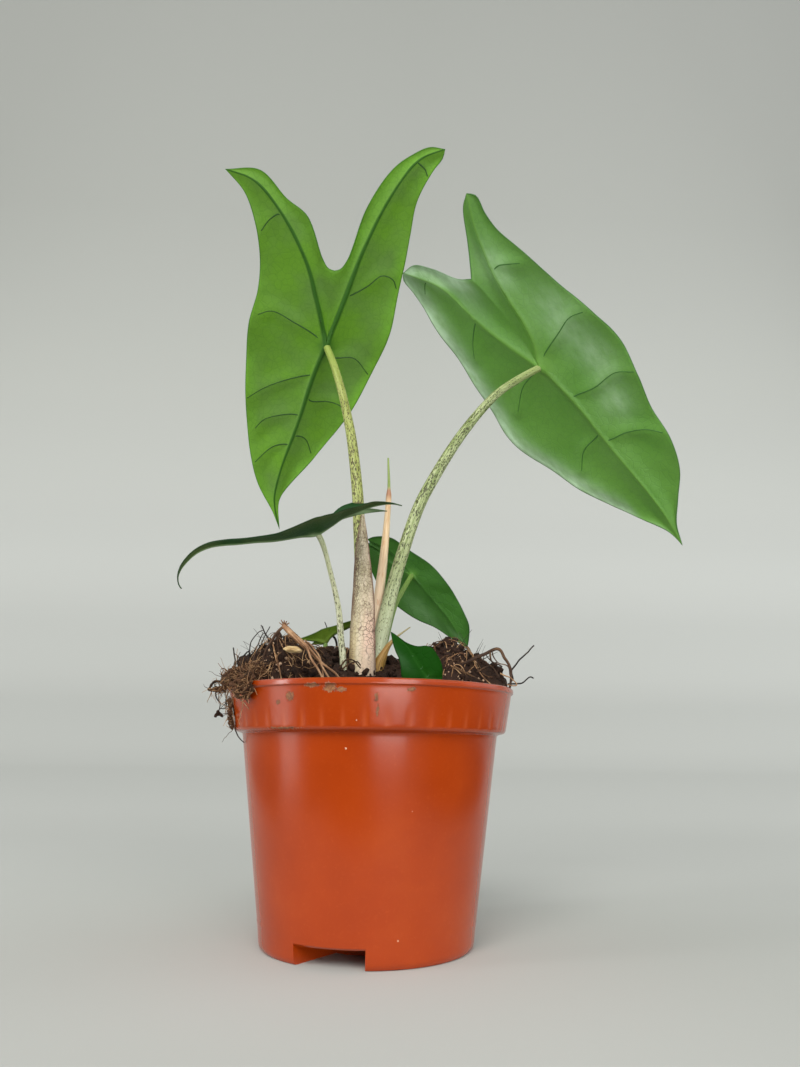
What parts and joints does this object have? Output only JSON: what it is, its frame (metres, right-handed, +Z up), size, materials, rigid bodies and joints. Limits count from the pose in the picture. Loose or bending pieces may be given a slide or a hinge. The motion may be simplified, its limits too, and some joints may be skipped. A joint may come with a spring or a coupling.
{
  "type": "potted alocasia longiloba",
  "caption": "Young potted Alocasia longiloba: tall arrow-shaped leaves on arching stalks and smaller ones low down, in a terracotta-coloured plastic nursery pot of peaty soil.",
  "frame": {"origin": "on the pot's axis, at the surface that the pot stands on", "axes": "+Z up along the pot's axis, the front as pictured faces -Y, +X to the right"},
  "size_m": [0.1826, 0.1202, 0.2644],
  "materials": {
    "pot_plastic": "satin",
    "peat": "matte",
    "corm_skin": "matte",
    "stalk": "satin",
    "large_blade": "satin",
    "small_blade": "gloss",
    "dry_sheath": "matte",
    "olive_scale": "satin",
    "shoot": "satin",
    "straw": "matte",
    "bark": "matte"
  },
  "bodies": {
    "root": {"pot": "pot_plastic", "soil": "peat", "corm": "corm_skin", "petiole_left": "stalk", "petiole_right": "stalk", "petiole_narrow": "stalk", "petiole_behind": "stalk", "petiole_front": "stalk", "petiole_low": "stalk", "leaf_left": "large_blade", "leaf_right": "large_blade", "leaf_narrow": "small_blade", "leaf_behind": "small_blade", "leaf_front": "small_blade", "leaf_low": "small_blade", "sheath": "dry_sheath", "scale": "olive_scale", "new_shoot": "shoot", "straw_left": "straw", "straw_right": "straw", "bark_chip": "bark"}
  },
  "joints": []
}
